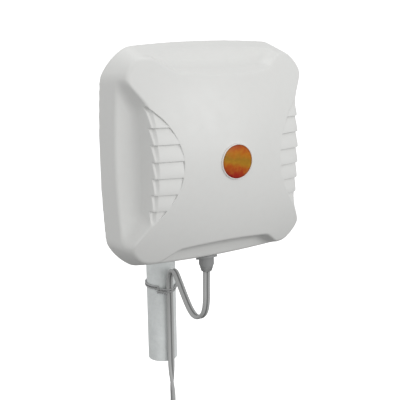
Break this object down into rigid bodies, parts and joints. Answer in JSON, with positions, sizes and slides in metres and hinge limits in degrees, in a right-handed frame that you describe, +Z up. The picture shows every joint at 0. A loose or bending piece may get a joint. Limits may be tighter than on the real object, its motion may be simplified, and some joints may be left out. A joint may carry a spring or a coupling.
{
  "type": "panel antenna",
  "caption": "Square panel antenna with a crowned scooped radome, on a tilting clamp and mast stub, with its looped twin coaxial lead.",
  "frame": {"origin": "centre of the mast stub's lower end", "axes": "+Z up along the mast; the panel faces -Y; +X is to the right for someone who faces the panel's front"},
  "size_m": [0.2632, 0.2223, 0.6917],
  "materials": {
    "radome_abs": "moulded semi-gloss off-white ABS",
    "cover_abs": "moulded satin off-white ABS",
    "seal_rubber": "black rubber",
    "zinc_steel": "bright zinc-plated steel",
    "galvanised_steel": "galvanised steel tube",
    "sheet_aluminium": "mill-finish sheet aluminium",
    "circuit_board": "glass-fibre circuit board with copper",
    "nylon": "natural nylon",
    "gland_grey": "grey moulded nylon",
    "cable_grey": "grey PVC twin coaxial lead",
    "badge_amber": "glossy domed disc shading from amber to red, pale rim, no lettering",
    "cap_black": "black moulded plastic",
    "tie_wire": "plastic-coated steel wire",
    "nickel_brass": "nickel-plated brass"
  },
  "bodies": {
    "mast": {"mast_tube": "galvanised_steel", "mast_cap": "cap_black"},
    "mast_clamp": {"cable_coil": "cable_grey", "cable_run": "cable_grey", "cable_tail_a": "cable_grey", "cable_tail_b": "cable_grey", "coil_tie_1": "cap_black", "coil_tie_2": "cap_black", "connector_a": "nickel_brass", "connector_b": "nickel_brass", "mast_bracket": "zinc_steel", "mast_saddle_lower": "zinc_steel", "mast_saddle_upper": "zinc_steel", "split_sleeve": "cap_black", "tilt_bolt": "zinc_steel", "tilt_nut": "zinc_steel", "u_bolt_lower": "zinc_steel", "u_bolt_nut_lower_a": "zinc_steel", "u_bolt_nut_lower_b": "zinc_steel", "u_bolt_nut_upper_a": "zinc_steel", "u_bolt_nut_upper_b": "zinc_steel", "u_bolt_upper": "zinc_steel", "wire_tie": "tie_wire"},
    "antenna": {"antenna_bracket": "zinc_steel", "back_cover": "cover_abs", "badge_disc": "badge_amber", "balun_board_a": "circuit_board", "balun_board_b": "circuit_board", "bracket_bolt_1": "zinc_steel", "bracket_bolt_2": "zinc_steel", "bracket_bolt_3": "zinc_steel", "bracket_bolt_4": "zinc_steel", "cable_gland": "gland_grey", "cable_loop": "cable_grey", "coax_pigtail_a": "seal_rubber", "coax_pigtail_b": "seal_rubber", "cover_screw_1": "zinc_steel", "cover_screw_2": "zinc_steel", "cover_screw_3": "zinc_steel", "cover_screw_4": "zinc_steel", "cover_screw_5": "zinc_steel", "cover_screw_6": "zinc_steel", "director_plate": "sheet_aluminium", "director_spacer": "nylon", "front_radome": "radome_abs", "gland_boot": "gland_grey", "perimeter_gasket": "seal_rubber", "radiator_board": "circuit_board", "reflector_plate": "sheet_aluminium", "reflector_screw_1": "zinc_steel", "reflector_screw_2": "zinc_steel", "reflector_screw_3": "zinc_steel", "reflector_screw_4": "zinc_steel", "reflector_standoff_1": "nylon", "reflector_standoff_2": "nylon", "reflector_standoff_3": "nylon", "reflector_standoff_4": "nylon", "tilt_lock_bolt": "zinc_steel", "tilt_lock_nut": "zinc_steel"}
  },
  "joints": [
    {"name": "azimuth", "type": "hinge", "parent": "mast", "child": "mast_clamp", "pos_m": [0, 0, 0.3065], "axis": [0, 0, 1], "range_deg": [-180, 180]},
    {"name": "tilt", "type": "hinge", "parent": "mast_clamp", "child": "antenna", "pos_m": [0, -0.066, 0.3065], "axis": [1, 0, 0], "range_deg": [-20, 20], "deforming": ["cable_loop"]}
  ]
}
